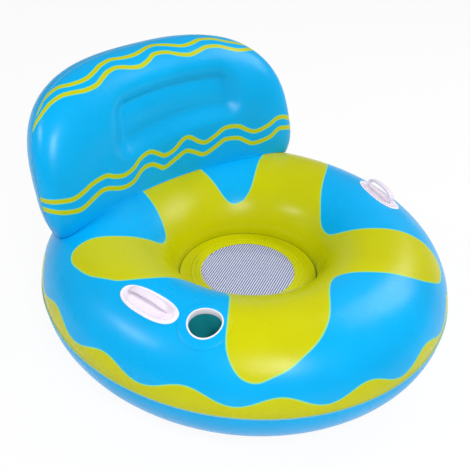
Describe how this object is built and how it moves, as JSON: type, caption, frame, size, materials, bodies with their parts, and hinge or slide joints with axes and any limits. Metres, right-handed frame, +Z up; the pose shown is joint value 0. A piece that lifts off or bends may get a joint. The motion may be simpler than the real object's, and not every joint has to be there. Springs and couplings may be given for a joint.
{
  "type": "inflatable water hammock",
  "caption": "Inflatable oval lounge ring with a mesh seat, a backrest pillow, moulded handles, a cup holder and air valves.",
  "frame": {"origin": "on the floor under the ring, in the middle of the outline seen from above", "axes": "+Z up, +Y towards the backrest, +X towards the side without the cup holder"},
  "size_m": [0.949, 1.0395, 0.5848],
  "materials": {
    "printed_film": "glossy PVC film, blue with a yellow lobed print and a yellow scalloped border",
    "blue_film": "glossy PVC film, plain blue",
    "backrest_film": "glossy PVC film, blue with two pairs of yellow wavy stripes",
    "yellow_film": "glossy PVC film, plain yellow",
    "net": "woven mesh, white with thin navy lines",
    "white_film": "glossy white PVC",
    "handle_plastic": "moulded soft plastic, pale pinkish white",
    "teal_film": "glossy PVC film, dark teal",
    "valve_plastic": "moulded soft plastic, milky clear"
  },
  "bodies": {
    "ring": {"ring_top_panel": "printed_film", "ring_bottom_panel": "blue_film", "seat_flange": "yellow_film", "seat_mesh": "net", "seat_backing_ring": "blue_film", "left_handle_patch": "white_film", "left_handle_plate": "handle_plastic", "right_handle_patch": "white_film", "right_handle_plate": "handle_plastic", "cup_collar": "white_film", "cup_sleeve": "teal_film", "cup_base": "teal_film", "cup_doubler": "blue_film", "ring_valve_base": "valve_plastic", "backrest_weld_strip": "blue_film"},
    "backrest": {"backrest_front_panel": "backrest_film", "backrest_back_panel": "blue_film", "backrest_baffle": "blue_film", "backrest_valve_base": "valve_plastic"},
    "left_grip": {"left_handle_grip": "handle_plastic"},
    "right_grip": {"right_handle_grip": "handle_plastic"},
    "ring_stem": {"ring_valve_stem": "valve_plastic"},
    "ring_plug": {"ring_valve_plug": "valve_plastic"},
    "ring_flap": {"ring_valve_flap": "valve_plastic"},
    "backrest_stem": {"backrest_valve_stem": "valve_plastic"},
    "backrest_plug": {"backrest_valve_plug": "valve_plastic"},
    "backrest_flap": {"backrest_valve_flap": "valve_plastic"}
  },
  "joints": [
    {"name": "backrest_lean", "type": "hinge", "parent": "ring", "child": "backrest", "pos_m": [0, 0.3485, 0.2724], "axis": [-1, 0, 0], "range_deg": [0, 6], "stiffness_Nm_per_rad": 30},
    {"name": "left_grip_fold", "type": "hinge", "parent": "ring", "child": "left_grip", "pos_m": [-0.34613, -0.1213, 0.27486], "axis": [-0.2053, 0.9786, 0.0114], "range_deg": [-70, 70], "stiffness_Nm_per_rad": 0.05},
    {"name": "right_grip_fold", "type": "hinge", "parent": "ring", "child": "right_grip", "pos_m": [0.36333, -0.11572, 0.27041], "axis": [0.2739, 0.9616, -0.0157], "range_deg": [-70, 70], "stiffness_Nm_per_rad": 0.05},
    {"name": "ring_stem_push", "type": "slide", "parent": "ring", "child": "ring_stem", "axis": [0.8024, 0.1154, 0.5856], "range_m": [0, 0.007]},
    {"name": "ring_plug_pull", "type": "slide", "parent": "ring_stem", "child": "ring_plug", "axis": [0.8024, 0.1154, 0.5856], "range_m": [0, 0.008]},
    {"name": "ring_flap_open", "type": "hinge", "parent": "ring_stem", "child": "ring_flap", "pos_m": [0.43801, 0.03248, 0.21016], "axis": [-0.1423, 0.9898, 0], "range_deg": [0, 60], "stiffness_Nm_per_rad": 0.0001},
    {"name": "backrest_stem_push", "type": "slide", "parent": "backrest", "child": "backrest_stem", "axis": [0.4072, 0.9046, -0.1259], "range_m": [0, 0.007]},
    {"name": "backrest_plug_pull", "type": "slide", "parent": "backrest_stem", "child": "backrest_plug", "axis": [0.4072, 0.9046, -0.1259], "range_m": [0, 0.008]},
    {"name": "backrest_flap_open", "type": "hinge", "parent": "backrest_stem", "child": "backrest_flap", "pos_m": [0.19241, 0.47344, 0.344], "axis": [-0.9119, 0.4104, 0], "range_deg": [0, 60], "stiffness_Nm_per_rad": 0.0001}
  ]
}
